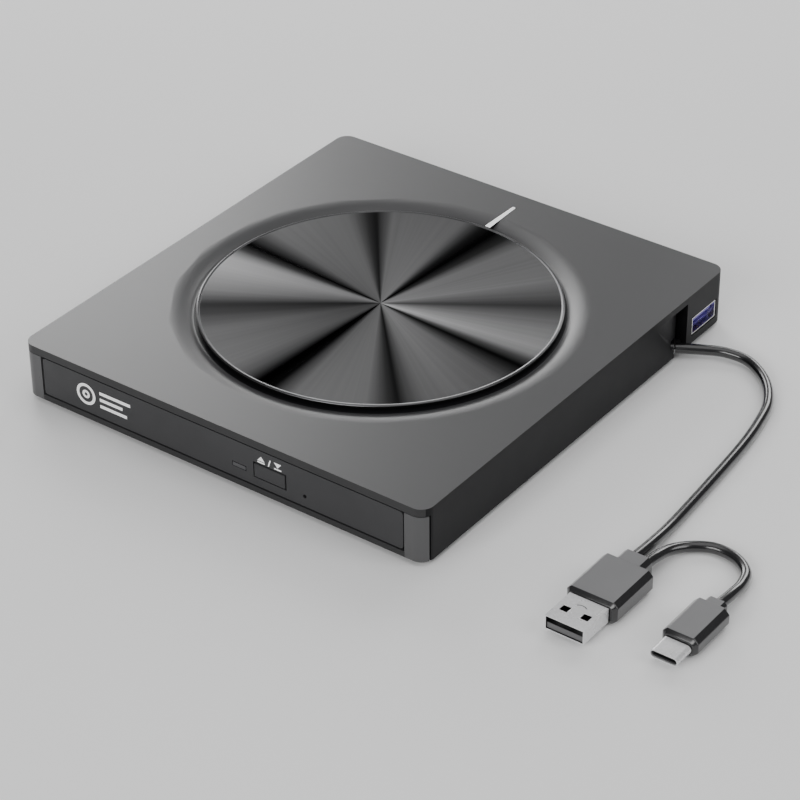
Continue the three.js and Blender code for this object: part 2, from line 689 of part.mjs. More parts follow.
function pickup() {
  add("pickup_frame", pickupFrame(), "steel");
  add("pickup_sled", inMech(sled()), "blackPlastic");
  const lensHole = post(2.2, THROUGH, LENS_U, 0, 20);
  const [halfU, halfT] = LENS_HOLDER;
  const holder = cut(box([LENS_U - halfU, LENS_U + halfU], [-halfT, halfT], [6.8, 8.9]), lensHole);
  add("lens_holder", inMech(holder), "blackPlastic");
  const dome = turned([[0, 7.6], [2, 7.6], [2, 8.7], [1.4, 9.1], [0, 9.3]], 20);
  add("lens", inMech(dome.translate(LENS_U, 0, 0)), "glass");
  const rodNames = ["guide_rod_rear", "guide_rod_front"];
  [-ROD_T, ROD_T].forEach((t, i) => {
    add(rodNames[i], inMech(rodX(ROD_R, ROD_U, t, ROD_Z)), "steel");
  });
  add("lead_screw", inMech(rodX(LEAD_SCREW_R, LEAD_SCREW_U, SCREW_T, ROD_Z)), "steel");
  const can = common(rodX(3, [-4, 9.4], SCREW_T, ROD_Z, 24), box([-5, 10], [-25, -17], [5.3, 7.9]));
  add("sled_motor", inMech(can), "steel");
}

// ---------------------------------------------------------------- sockets and bridge board

function sockets() {
  add("bridge_board", box([-52, 56.8], [57.6, 73.6], [4.6, 5.6]), "board");
  const mouth = box([-42.5, -17.5], [51, 54.5], [6.6, 8.2]);
  add("sata_socket", cut(box([-44, -16], [52, 57.2], [5.4, 9.4]), mouth), "blackPlastic");
  const y = (half) => [PORT_Y - half, PORT_Y + half];
  const z = (half) => [PORT_Z - half, PORT_Z + half];
  const shell = box([PORT_INNER_X, HALF_W - 0.15], y(PORT_HALF_W), z(PORT_HALF_H));
  const cavity = box(
    [PORT_INNER_X + PORT_SHEET, HALF_W + PAST],
    y(PORT_HALF_W - PORT_SHEET),
    z(PORT_HALF_H - PORT_SHEET),
  );
  add("usb_socket_shell", cut(shell, cavity), "steel");
  const tongueX = [PORT_INNER_X + 0.7, HALF_W - 1.4];
  add("usb_socket_tongue", box(tongueX, y(5.6), [PORT_Z + 0.2, PORT_Z + 2.1]), "blue");
}

// ---------------------------------------------------------------- lead and plugs

function strainRelief() {
  const profile = [[0, -4.6], [2, -4.6], [2, -3.2], [1.85, -2.9], [1.6, 0], [0, 0]];
  const sleeve = turned(profile, 16).rotateY(Math.PI / 2).rotateZ(LEAD_HEADING);
  return sleeve.translate(...LEAD_EXIT);
}

// A moulded plug body lying along Y, with chamfered edges.
function moulding(x, { halfWidth, chamfer, along }, height) {
  const side = halfWidth - chamfer;
  const outline = [
    [-side, 0],
    [side, 0],
    [halfWidth, chamfer],
    [halfWidth, height - chamfer],
    [side, height],
    [-side, height],
    [-halfWidth, height - chamfer],
    [-halfWidth, chamfer],
  ];
  return alongY(polygon(outline.map(([px, pz]) => [x + px, pz])), along);
}

function plugA() {
  const grip = moulding(PLUG_A_X, PLUG_A_GRIP, 2 * PLUG_A_MID_Z);
  const neck = moulding(PLUG_A_X, PLUG_A_NECK, 2 * PLUG_A_MID_Z - 0.6);
  add("usb_a_grip", join(grip, neck.translate(0, 0, 0.3)), "plug");
  const z = (half) => [PLUG_A_MID_Z - half, PLUG_A_MID_Z + half];
  const x = (half) => [PLUG_A_X - half, PLUG_A_X + half];
  const windows = [-3.2, 3.2].map((dx) => {
    const middle = PLUG_A_X + dx;
    return box([middle - 1.2, middle + 1.2], [-75.6, -73.2], [0, 10]);
  });
  const bore = box(x(6 - PLUG_A_SHEET), [-90, -60], z(2.25 - PLUG_A_SHEET));
  const shell = cut(box(x(6), PLUG_A_SHELL_Y, z(2.25)), bore, ...windows);
  add("usb_a_shell", shell, "steel");
  const insulatorZ = [PLUG_A_MID_Z - 1.8, PLUG_A_MID_Z - 0.05];
  add("usb_a_insulator", box(x(5.55), [-79.3, -68], insulatorZ), "blackPlastic");
}

function plugC() {
  const grip = moulding(PLUG_C_X, PLUG_C_GRIP, 2 * PLUG_C_MID_Z);
  const neck = moulding(PLUG_C_X, PLUG_C_NECK, 2 * PLUG_C_MID_Z - 1);
  add("usb_c_grip", join(grip, neck.translate(0, 0, 0.5)), "plug");
  const along = (width, height, radius, y) =>
    alongY(roundRect(width, height, radius), y).translate(PLUG_C_X, 0, PLUG_C_MID_Z);
  const outer = along(8.34, 2.56, 1.27, PLUG_C_SHELL_Y);
  const shell = cut(outer, along(7.74, 1.96, 0.97, [-80, PLUG_C_SHELL_Y[1] - 0.4]));
  add("usb_c_shell", shell, "steel");
  const liner = cut(along(7.54, 1.76, 0.87, [-73.5, -68]), along(6.7, 0.76, 0.3, [-80, -69]));
  add("usb_c_liner", liner, "blackPlastic");
}

function leads() {
  add("strain_relief", strainRelief(), "blackPlastic");
  add("lead", tube(LEAD_ROUTE, LEAD_R, 22), "lead");
  add("lead_tail", tube(TAIL_ROUTE, LEAD_R, 14), "lead");
}

housing();
fixedDrive();
trayPieces();
spindle();
pickup();
sockets();
leads();
plugA();
plugC();

export default part;
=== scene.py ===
# External slim optical drive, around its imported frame. Metres, +Z up; the tray opens towards -Y.

import json
import math
import random

import bmesh
import bpy
from mathutils import Matrix, Vector

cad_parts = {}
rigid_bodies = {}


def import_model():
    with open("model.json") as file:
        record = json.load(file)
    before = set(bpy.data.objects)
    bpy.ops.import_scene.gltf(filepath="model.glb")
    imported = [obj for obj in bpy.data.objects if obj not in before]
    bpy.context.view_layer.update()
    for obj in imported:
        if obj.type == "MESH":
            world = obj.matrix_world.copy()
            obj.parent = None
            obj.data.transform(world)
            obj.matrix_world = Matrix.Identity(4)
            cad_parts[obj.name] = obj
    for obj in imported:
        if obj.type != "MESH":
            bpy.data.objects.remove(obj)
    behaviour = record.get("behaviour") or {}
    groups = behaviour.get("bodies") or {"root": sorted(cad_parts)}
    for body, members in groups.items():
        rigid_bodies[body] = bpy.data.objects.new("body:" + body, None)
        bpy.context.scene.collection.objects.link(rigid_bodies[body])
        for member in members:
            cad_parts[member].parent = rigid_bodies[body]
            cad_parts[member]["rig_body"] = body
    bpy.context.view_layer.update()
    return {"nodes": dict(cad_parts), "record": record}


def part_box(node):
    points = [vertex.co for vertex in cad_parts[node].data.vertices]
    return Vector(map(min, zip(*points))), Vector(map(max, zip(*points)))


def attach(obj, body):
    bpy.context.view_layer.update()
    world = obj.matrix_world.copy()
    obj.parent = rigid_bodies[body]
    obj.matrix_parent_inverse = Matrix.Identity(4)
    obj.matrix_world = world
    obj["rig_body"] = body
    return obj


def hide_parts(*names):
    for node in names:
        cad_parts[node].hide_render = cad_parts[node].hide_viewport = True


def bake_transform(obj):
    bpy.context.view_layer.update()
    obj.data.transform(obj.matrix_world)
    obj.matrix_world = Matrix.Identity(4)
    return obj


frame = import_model()
NODES = frame["nodes"]
RECORD = frame["record"]

MM = 0.001
TABLE_Z = 0.0
WELD = 1e-6  # corners closer than this are one corner
ONE_FACE = math.radians(0.6)  # faces that meet at less than this are one face
random.seed(20)

SHELL_LOW, SHELL_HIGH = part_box("top_shell")
DISC_LOW, DISC_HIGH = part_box("spun_disc")
BEZEL_LOW, BEZEL_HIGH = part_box("tray_bezel")
DISC_R = (DISC_HIGH.x - DISC_LOW.x) / 2
DECK_Z = SHELL_HIGH.z


# ---------------------------------------------------------------- camera

def add_camera():
    """A long lens, looking down at the front right corner from 34 degrees up."""
    azimuth, elevation, roll = math.radians(36.66), math.radians(33.92), math.radians(-0.508)
    distance = 0.8102
    aim = Vector((0.02624, -0.02613, DECK_Z / 2))
    back = Vector((math.sin(azimuth) * math.cos(elevation),
                   -math.cos(azimuth) * math.cos(elevation),
                   math.sin(elevation)))
    data = bpy.data.cameras.new("camera")
    data.sensor_width = 36
    data.lens = 128.32
    data.clip_start = 0.05
    camera = bpy.data.objects.new("camera", data)
    bpy.context.scene.collection.objects.link(camera)
    camera.location = aim + back * distance
    camera.rotation_euler = ((back.to_track_quat("Z", "Y").to_matrix()
                              @ Matrix.Rotation(roll, 3, "Z")).to_euler())
    bpy.context.scene.camera = camera


add_camera()


# ---------------------------------------------------------------- making pieces

def link(name, mesh, body, replaces=()):
    """A mesh as a piece of its own that rides on a body."""
    piece = bpy.data.objects.new(name, mesh)
    bpy.context.scene.collection.objects.link(piece)
    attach(piece, body)
    if replaces:
        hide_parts(*replaces)
    return piece


def body_of(node):
    return NODES[node]["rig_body"]


def slot_of(node):
    return next(s["material_slot"] for s in RECORD["subparts"] if s["node"] == node)


def apply_modifiers(piece):
    graph = bpy.context.evaluated_depsgraph_get()
    mesh = bpy.data.meshes.new_from_object(piece.evaluated_get(graph))
    piece.modifiers.clear()
    piece.data = mesh


def smooth(piece, angle):
    """Smooth faces with hard edges past an angle in degrees, and flat faces kept flat."""
    mesh = piece.data
    for polygon in mesh.polygons:
        polygon.use_smooth = True
    edges = bmesh.new()
    edges.from_mesh(mesh)
    for edge in edges.edges:
        sharp = len(edge.link_faces) == 2 and edge.calc_face_angle(0) > math.radians(angle)
        edge.smooth = not sharp
    edges.to_mesh(mesh)
    edges.free()
    weighted = piece.modifiers.new("weighted", "WEIGHTED_NORMAL")
    weighted.mode = "FACE_AREA"
    weighted.keep_sharp = True
    weighted.weight = 90


def refine(node, bevel, material, segments=2, angle=35, nose=0.0):
    """A CAD node's own shape with its hard edges rounded, in place of the node.

    bevel is the width of the rounding and nose that of a chamfer round the front, in millimetres.
    """
    name = node + "_fine"
    mesh = bpy.data.meshes.new(name)
    shape = bmesh.new()
    shape.from_mesh(NODES[node].data)
    bmesh.ops.remove_doubles(shape, verts=shape.verts, dist=WELD)
    bmesh.ops.dissolve_limit(shape, angle_limit=ONE_FACE, verts=shape.verts, edges=shape.edges)
    if nose:
        front = min(v.co.y for v in shape.verts) + 0.01 * MM
        rim = [e for e in shape.edges if all(v.co.y < front for v in e.verts)]
        bmesh.ops.bevel(shape, geom=rim, offset=nose * MM, segments=1, affect="EDGES",
                        clamp_overlap=True)
    shape.to_mesh(mesh)
    shape.free()
    piece = link(name, mesh, body_of(node), [node])
    rounding = piece.modifiers.new("rounding", "BEVEL")
    rounding.width = bevel * MM
    rounding.segments = segments
    rounding.limit_method = "ANGLE"
    rounding.angle_limit = math.radians(angle)
    rounding.use_clamp_overlap = True
    rounding.harden_normals = False
    apply_modifiers(piece)
    smooth(piece, 40)
    paint(piece, material)
    return piece


def paint(piece, *materials):
    """Put these materials on a piece, in order, in place of any that it has."""
    piece.data.materials.clear()
    for material in materials:
        piece.data.materials.append(material)


def curve_piece(name, points, radius, body, material, roundness):
    """A round wire or cord along points, as one curve."""
    data = bpy.data.curves.new(name, "CURVE")
    data.dimensions = "3D"
    spline = data.splines.new("POLY")
    spline.points.add(len(points) - 1)
    for target, point in zip(spline.points, points):
        target.co = (*point, 1)
    data.bevel_depth = radius
    data.bevel_resolution = roundness
    data.use_fill_caps = True
    piece = bpy.data.objects.new(name, data)
    bpy.context.scene.collection.objects.link(piece)
    data.materials.append(material)
    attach(piece, body)
    return piece


def closed_mesh(name, shape):
    """A shape that has been built, as mesh data whose faces look outwards."""
    bmesh.ops.recalc_face_normals(shape, faces=shape.faces)
    data = bpy.data.meshes.new(name)
    shape.to_mesh(data)
    shape.free()
    return data


def bridge(shape, low, high):
    """Join two loops of as many corners with a band of four-sided faces."""
    for i in range(len(low)):
        j = (i + 1) % len(low)
        shape.faces.new((low[i], low[j], high[j], high[i]))


def ring_mesh(name, rings):
    """Skin a list of equal-length point rings into one closed mesh."""
    shape = bmesh.new()
    rows = [[shape.verts.new(p) for p in ring] for ring in rings]
    for low, high in zip(rows, rows[1:]):
        bridge(shape, low, high)
    shape.faces.new(list(reversed(rows[0])))
    shape.faces.new(rows[-1])
    return closed_mesh(name, shape)


def around(count):
    """Angles that part a full turn evenly."""
    return [2 * math.pi * i / count for i in range(count)]


def circle_ring(radius, z, count):
    return [(radius * math.cos(a), radius * math.sin(a), z) for a in around(count)]


# ---------------------------------------------------------------- materials

NOISE_LOW, NOISE_HIGH = 0.3, 0.7  # most of a noise texture's values lie between these


def node_material(name, colour, roughness, metallic=0.0):
    """A Principled material with its constants on the shader, and its nodes to build on."""
    material = bpy.data.materials.new(name)
    material.use_nodes = True
    shader = material.node_tree.nodes["Principled BSDF"]
    shader.inputs["Base Color"].default_value = (*colour, 1)
    shader.inputs["Roughness"].default_value = roughness
    shader.inputs["Metallic"].default_value = metallic
    return material, material.node_tree.nodes, material.node_tree.links, shader


def add_noise(nodes, links, scale, detail=4.0, roughness=0.5, stretch=None):
    place = nodes.new("ShaderNodeTexCoord")
    noise = nodes.new("ShaderNodeTexNoise")
    noise.inputs["Scale"].default_value = scale
    noise.inputs["Detail"].default_value = detail
    noise.inputs["Roughness"].default_value = roughness
    source = place.outputs["Object"]
    if stretch:
        mapping = nodes.new("ShaderNodeMapping")
        mapping.inputs["Scale"].default_value = stretch
        links.new(source, mapping.inputs["Vector"])
        source = mapping.outputs["Vector"]
    links.new(source, noise.inputs["Vector"])
    return noise.outputs["Fac"]


def noise_along(nodes, links, value, scale, detail):
    """Noise that varies with one value only."""
    line = nodes.new("ShaderNodeCombineXYZ")
    links.new(value, line.inputs["X"])
    noise = nodes.new("ShaderNodeTexNoise")
    noise.inputs["Scale"].default_value = scale
    noise.inputs["Detail"].default_value = detail
    links.new(line.outputs["Vector"], noise.inputs["Vector"])
    return noise.outputs["Fac"]


def add_range(nodes, links, value, low, high):
    """A noise's usual values, spread from low to high."""
    span = nodes.new("ShaderNodeMapRange")
    span.inputs["From Min"].default_value = NOISE_LOW
    span.inputs["From Max"].default_value = NOISE_HIGH
    span.inputs["To Min"].default_value = low
    span.inputs["To Max"].default_value = high
    links.new(value, span.inputs["Value"])
    return span.outputs["Result"]


def add_tint(nodes, links, shader, value, dark, light):
    """A base colour that goes from dark to light over a noise's usual values."""
    ramp = nodes.new("ShaderNodeValToRGB")
    ramp.color_ramp.elements[0].position = NOISE_LOW
    ramp.color_ramp.elements[1].position = NOISE_HIGH
    ramp.color_ramp.elements[0].color = (*dark, 1)
    ramp.color_ramp.elements[1].color = (*light, 1)
    links.new(value, ramp.inputs["Fac"])
    links.new(ramp.outputs["Color"], shader.inputs["Base Color"])


def add_bump(nodes, links, shader, height, strength, distance):
    bump = nodes.new("ShaderNodeBump")
    bump.inputs["Strength"].default_value = strength
    bump.inputs["Distance"].default_value = distance
    links.new(height, bump.inputs["Height"])
    links.new(bump.outputs["Normal"], shader.inputs["Normal"])


def moulded(name, colour, roughness, grain, grain_scale, vary, coat=0.0, glow=0.0, shine=0.5,
            wander=0.14):
    """Moulded plastic: fine spark grain, faint cloudy colour, and polish that wanders a little."""
    material, nodes, links, shader = node_material(name, colour, roughness)
    cloud = add_noise(nodes, links, scale=38, detail=5)
    dark = [c * (1 - vary) for c in colour]
    light = [min(1, c * (1 + vary)) for c in colour]
    add_tint(nodes, links, shader, cloud, dark, light)
    rub = add_noise(nodes, links, scale=160, detail=6, roughness=0.6)
    links.new(add_range(nodes, links, rub, roughness * (1 - wander), roughness * (1 + wander)),
              shader.inputs["Roughness"])
    fine = add_noise(nodes, links, grain_scale, detail=2)
    add_bump(nodes, links, shader, fine, strength=grain, distance=0.04 * MM)
    shader.inputs["Specular IOR Level"].default_value = shine
    shader.inputs["Coat Weight"].default_value = coat
    shader.inputs["Coat Roughness"].default_value = 0.25
    if glow:
        shader.inputs["Emission Color"].default_value = (1, 1, 1, 1)
        shader.inputs["Emission Strength"].default_value = glow
    return material


def sheet_metal(name, colour, roughness=0.32, brushed=(1, 60, 60), scale=140, metallic=1.0):
    """Rolled or brushed sheet: long faint scratches along one direction, and smudges."""
    material, nodes, links, shader = node_material(name, colour, roughness, metallic)
    scratch = add_noise(nodes, links, scale, detail=6, roughness=0.7, stretch=brushed)
    dark = [c * 0.82 for c in colour]
    add_tint(nodes, links, shader, scratch, dark, colour)
    smudge = add_noise(nodes, links, scale=60, detail=5)
    links.new(add_range(nodes, links, smudge, roughness * 0.75, roughness * 1.3),
              shader.inputs["Roughness"])
    add_bump(nodes, links, shader, scratch, strength=0.12, distance=0.03 * MM)
    return material


# Painted highlight and shade on the spun face round the axis, as (degrees from +X, tone): dark
# spokes on the near half and on the far half, with painted lit sectors between them that stand in
# for the metal's reflections. The tones were fitted to the photograph's brightness, angle by angle.
NEAR_PAINTED_LIGHT = [
    (-180, 0.042), (-174, 0.184), (-168, 0.190), (-152, 0.098), (-144, 0.032), (-138, 0.043),
    (-128, 0.078), (-106, 0.083), (-99, 0.053), (-93, 0.004), (-88, 0.011), (-80, 0.085),
    (-58, 0.098), (-51, 0.032), (-48, 0.017), (-40, 0.107), (-29, 0.161), (-15, 0.167),
    (-8, 0.062), (-4, 0.009), (0, 0.124),
]
FAR_PAINTED_LIGHT = [
    (0, 0.124), (4, 0.414), (8, 0.508), (24, 0.258), (34, 0.093), (50, 0.291), (62, 0.252),
    (73, 0.238), (80, 0.054), (86, 0.008), (91, 0.031), (98, 0.149), (122, 0.105), (128, 0.024),
    (131, 0.032), (138, 0.091), (165, 0.087), (172, 0.034), (176, 0.008), (180, 0.040),
]


def spun_metal_painted_light():
    """Metal spun about the disc's axis.

    Bright and dark sectors of painted highlight and shade fan out from the middle, standing in for
    the metal's reflections, with fine spokes and round tool marks in them.
    """
    colour = (0.30, 0.30, 0.305)
    material, nodes, links, shader = node_material("spun_metal_painted_light_fan", colour, 0.3, 1.0)
    place = nodes.new("ShaderNodeTexCoord")
    split = nodes.new("ShaderNodeSeparateXYZ")
    links.new(place.outputs["Object"], split.inputs["Vector"])
    angle = nodes.new("ShaderNodeMath")
    angle.operation = "ARCTAN2"
    links.new(split.outputs["Y"], angle.inputs[0])
    links.new(split.outputs["X"], angle.inputs[1])
    # Painted light: the tone ramps fix highlight and shade to angles round the face.
    halves = []
    for tones, start in ((NEAR_PAINTED_LIGHT, -math.pi), (FAR_PAINTED_LIGHT, 0.0)):
        turn = nodes.new("ShaderNodeMapRange")
        turn.inputs["From Min"].default_value = start
        turn.inputs["From Max"].default_value = start + math.pi
        links.new(angle.outputs["Value"], turn.inputs["Value"])
        fan = nodes.new("ShaderNodeValToRGB")
        elements = fan.color_ramp.elements
        while len(elements) < len(tones):
            elements.new(0.5)
        for element, (degrees, tone) in zip(elements, tones):
            element.position = (math.radians(degrees) - start) / math.pi
            element.color = (tone, tone, tone * 1.01, 1)
        links.new(turn.outputs["Result"], fan.inputs["Fac"])
        halves.append(fan.outputs["Color"])
    far_side = nodes.new("ShaderNodeMath")
    far_side.operation = "GREATER_THAN"
    far_side.inputs[1].default_value = 0
    links.new(angle.outputs["Value"], far_side.inputs[0])
    painted_light_tone = nodes.new("ShaderNodeMix")
    painted_light_tone.data_type = "RGBA"
    links.new(far_side.outputs["Value"], painted_light_tone.inputs["Factor"])
    links.new(halves[0], painted_light_tone.inputs["A"])
    links.new(halves[1], painted_light_tone.inputs["B"])
    # Spokes: noise read along the angle only
    spokes = noise_along(nodes, links, angle.outputs["Value"], scale=26, detail=5)
    lift = add_range(nodes, links, spokes, 0.92, 1.07)
    shade = nodes.new("ShaderNodeVectorMath")
    shade.operation = "SCALE"
    links.new(painted_light_tone.outputs["Result"], shade.inputs["Vector"])
    links.new(lift, shade.inputs["Scale"])
    links.new(shade.outputs["Vector"], shader.inputs["Base Color"])
    # Tool marks: fine rings about the axis
    length = nodes.new("ShaderNodeVectorMath")
    length.operation = "LENGTH"
    flat = nodes.new("ShaderNodeCombineXYZ")
    links.new(split.outputs["X"], flat.inputs["X"])
    links.new(split.outputs["Y"], flat.inputs["Y"])
    links.new(flat.outputs["Vector"], length.inputs[0])
    rings = noise_along(nodes, links, length.outputs["Value"], scale=2600, detail=2)
    add_bump(nodes, links, shader, rings, strength=0.04, distance=0.03 * MM)
    links.new(add_range(nodes, links, rings, 0.29, 0.33), shader.inputs["Roughness"])
    shader.inputs["Anisotropic"].default_value = 0.6
    shader.inputs["Specular Tint"].default_value = (0.25, 0.25, 0.25, 1)
    tangent = nodes.new("ShaderNodeTangent")
    tangent.direction_type = "RADIAL"
    tangent.axis = "Z"
    links.new(tangent.outputs["Tangent"], shader.inputs["Tangent"])
    return material


DECK = moulded("satin_graphite_deck", (0.050, 0.050, 0.052), 0.36, 0.06, 2600, 0.02, coat=0.15,
               wander=0.03)
# A darker copy of the deck's plastic, for the walls and the moat's floor: painted shade.
WALL_PAINTED_SHADE = moulded("satin_wall_painted_shade", (0.008, 0.008, 0.009), 0.42, 0.12, 2400, 0.05, shine=0.15,
               wander=0.04)
# A darker copy of the bottom cover's plastic, for its rim and floor: painted shade.
FRAME_PAINTED_SHADE = moulded("satin_frame_painted_shade", (0.022, 0.022, 0.023), 0.38, 0.10, 2600, 0.06, shine=0.4)
# A darker copy of the deck's plastic, for the front lip: painted shade.
LIP_PAINTED_SHADE = moulded("satin_lip_painted_shade", (0.022, 0.022, 0.023), 0.38, 0.10, 2600, 0.06, shine=0.4)
# A lighter copy of the bottom cover's plastic, for its corner columns: painted highlight.
COLUMN_PAINTED_LIGHT = moulded("satin_column_painted_light", (0.078, 0.078, 0.080), 0.30, 0.08, 2600, 0.05)
BEZEL = moulded("satin_black_bezel", (0.034, 0.034, 0.036), 0.42, 0.15, 2400, 0.08, shine=0.4)
BLACK = moulded("matt_black_plastic", (0.012, 0.012, 0.013), 0.5, 0.2, 2000, 0.2)
# The pointer's white, with a painted glow.
WHITE_PAINTED_GLOW = moulded("frosted_white_window_painted_glow", (0.92, 0.93, 0.94), 0.3, 0.03, 2000, 0.02, glow=0.5)
# White print, with a painted glow.
INK_PAINTED_GLOW = moulded("white_pad_print_painted_glow", (0.92, 0.92, 0.92), 0.5, 0.1, 3000, 0.04, glow=0.28)
SMOKE = moulded("smoked_lamp_window", (0.06, 0.06, 0.064), 0.25, 0.02, 2000, 0.05)
RUBBER = moulded("black_rubber", (0.02, 0.02, 0.02), 0.8, 0.4, 1200, 0.2)
STEEL = sheet_metal("rolled_steel", (0.52, 0.53, 0.54))
BRIGHT = sheet_metal("nickel_plate", (0.80, 0.80, 0.81), 0.24, (20, 20, 20), 60)
PLUG_PLATE = sheet_metal("satin_plug_plate", (0.84, 0.84, 0.85), 0.30, (20, 20, 20), 60, 0.45)
BOARD = moulded("green_solder_mask", (0.012, 0.075, 0.04), 0.3, 0.1, 900, 0.2, coat=0.4)
BLUE = moulded("blue_violet_insulator", (0.17, 0.13, 0.52), 0.35, 0.1, 2000, 0.1)
JACKET = moulded("glossy_lead_jacket", (0.008, 0.008, 0.009), 0.16, 0.03, 700, 0.15, coat=1.0)
# Lighter grey, on the grips' top faces as painted highlight, and on the shell's seam arc.
GRIP = moulded("satin_plug_grip", (0.17, 0.17, 0.174), 0.38, 0.10, 2400, 0.06)
# A dark glossy copy of the grips' plastic, for their other faces and the strain relief: painted
# shade.
GRIP_PAINTED_SHADE = moulded("glossy_plug_painted_shade", (0.014, 0.014, 0.015), 0.18, 0.05, 1800, 0.1, coat=0.6)
TONGUE = moulded("grey_contact_carrier", (0.13, 0.13, 0.132), 0.4, 0.1, 2000, 0.1)
GOLD = sheet_metal("gold_contacts", (0.85, 0.62, 0.28), 0.25, (30, 1, 1), 90)
LABEL = moulded("silver_label_film", (0.42, 0.42, 0.43), 0.35, 0.06, 1500, 0.05)
LENS = moulded("coated_lens_glass", (0.10, 0.14, 0.30), 0.05, 0.01, 900, 0.1, coat=1.0)
COPPER = sheet_metal("lacquered_copper", (0.62, 0.33, 0.17), 0.35, (1, 30, 30), 120)
# The spun face, with painted highlights and shade fixed to angles round its axis.
DISC_PAINTED_LIGHT = spun_metal_painted_light()
RIM = sheet_metal("cut_rim", (0.12, 0.12, 0.123), 0.32, (1, 1, 30), 200)
# Near black on the disc's side wall: painted shade under the rim.
DISC_SIDE_PAINTED_SHADE = moulded("disc_side_painted_shade", (0.004, 0.004, 0.004), 0.5, 0.1, 2000, 0.1, shine=0.1)

MATERIAL_OF_SLOT = {  # for the nodes that aren't given a finish by name
    "black_plastic": BLACK, "rubber": RUBBER, "steel": STEEL, "board": BOARD, "copper": COPPER,
    "chrome": BRIGHT,
}


# ---------------------------------------------------------------- leads

LEAD_R = 1.6 * MM
LEAD_ROUTE = [
    (70.6, 50.8, 3.4), (73.4, 52.5, 3.3), (76.8, 54.7, 3.1), (82.9, 58.3, 2.6),
    (89.6, 59.2, 2.1), (95.7, 56.6, 1.75), (101.8, 51.0, 1.65), (106.8, 42.5, 1.65),
    (109.5, 32.4, 1.65), (111.3, 21.7, 1.65), (112.8, 6.6, 1.65), (114.3, -11.7, 1.65),
    (115.2, -24.0, 1.8), (115.8, -34.0, 2.7), (115.9, -43.8, 3.4),
]
TAIL_ROUTE = [
    (119.9, -43.8, 3.4), (120.2, -39.5, 3.2), (121.2, -33.6, 2.5), (124.4, -28.3, 1.8),
    (130.1, -24.9, 1.65), (137.2, -25.6, 1.65), (142.4, -29.6, 1.75), (144.4, -35.4, 2.2),
    (144.7, -40.6, 2.8), (144.4, -47.2, 3.0),
]


def smooth_route(route):
    """Points along the centripetal Catmull-Rom curve through a route given in millimetres."""
    steps = 8  # from one of the route's points to the next
    knots = [Vector(p) * MM for p in route]
    knots = [knots[0] * 2 - knots[1], *knots, knots[-1] * 2 - knots[-2]]
    points = []
    for a, b, c, d in zip(knots, knots[1:], knots[2:], knots[3:]):
        t1 = math.sqrt((b - a).length)
        t2 = t1 + math.sqrt((c - b).length)
        t3 = t2 + math.sqrt((d - c).length)
        for i in range(steps):
            t = t1 + (t2 - t1) * i / steps
            ab = a * ((t1 - t) / t1) + b * (t / t1)
            bc = b * ((t2 - t) / (t2 - t1)) + c * ((t - t1) / (t2 - t1))
            cd = c * ((t3 - t) / (t3 - t2)) + d * ((t - t2) / (t3 - t2))
            left = ab * ((t2 - t) / t2) + bc * (t / t2)
            right = bc * ((t3 - t) / (t3 - t1)) + cd * ((t - t1) / (t3 - t1))
            points.append(left * ((t2 - t) / (t2 - t1)) + right * ((t - t1) / (t2 - t1)))
    points.append(knots[-2])
    return points


def add_lead(name, node, route):
    points = smooth_route(route)
    piece = curve_piece(name, points, LEAD_R, "housing", JACKET, 8)
    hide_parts(node)


def lit_top_shaded_sides(piece, top, side, floor):
    """The faces that look up, above a level, in one finish, and all the others in another: a lit
    top and shaded sides, as painted highlight and painted shade.
    """
    paint(piece, top, side)
    for polygon in piece.data.polygons:
        looks_up = polygon.normal.z > 0.9 and polygon.center.z > floor
        polygon.material_index = 0 if looks_up else 1
    return piece


def shade_inside_shell(piece, node):
    """The faces inside a plug's shell, away from its outer skin and its mouth, in black, as painted
    shade.
    """
    sheet = 0.2 * MM
    low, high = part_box(node)
    piece.data.materials.append(BLACK)
    for polygon in piece.data.polygons:
        x, _, z = polygon.center
        within = low.x + sheet < x < high.x - sheet and low.z + sheet < z < high.z - sheet
        if within and abs(polygon.normal.y) < 0.5:
            polygon.material_index = 1
    return piece


def shade_behind_nose(piece, node):
    """A contact carrier's front edge as it is, and its other faces in black as painted shade."""
    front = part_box(node)[0].y + 0.3 * MM
    piece.data.materials.append(BLACK)
    for polygon in piece.data.polygons:
        polygon.material_index = 0 if polygon.center.y < front else 1
    return piece


def seam_arc(name, node, material, radius, rise):
    """A low raised arc, as pressed into the top of a plug's shell behind its two windows."""
    low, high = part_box(node)
    x, y = (low.x + high.x) / 2, low.y + 7.9 * MM
    start, sweep, steps = 20, 140, 16  # in degrees, in degrees, and in parts
    half_width, depth, sink = 0.22 * MM, 0.55, 0.02 * MM
    rings = []
    for i in range(steps + 1):
        a = math.radians(start + sweep * i / steps)
        ring = []
        for b in around(8):
            reach = radius + half_width * math.cos(b)
            ring.append((x + reach * math.cos(a), y + depth * reach * math.sin(a),
                         high.z - sink + rise * math.sin(b)))
        rings.append(ring)
    piece = link(name, ring_mesh(name, rings), body_of(node))
    paint(piece, material)
    smooth(piece, 60)
    return piece


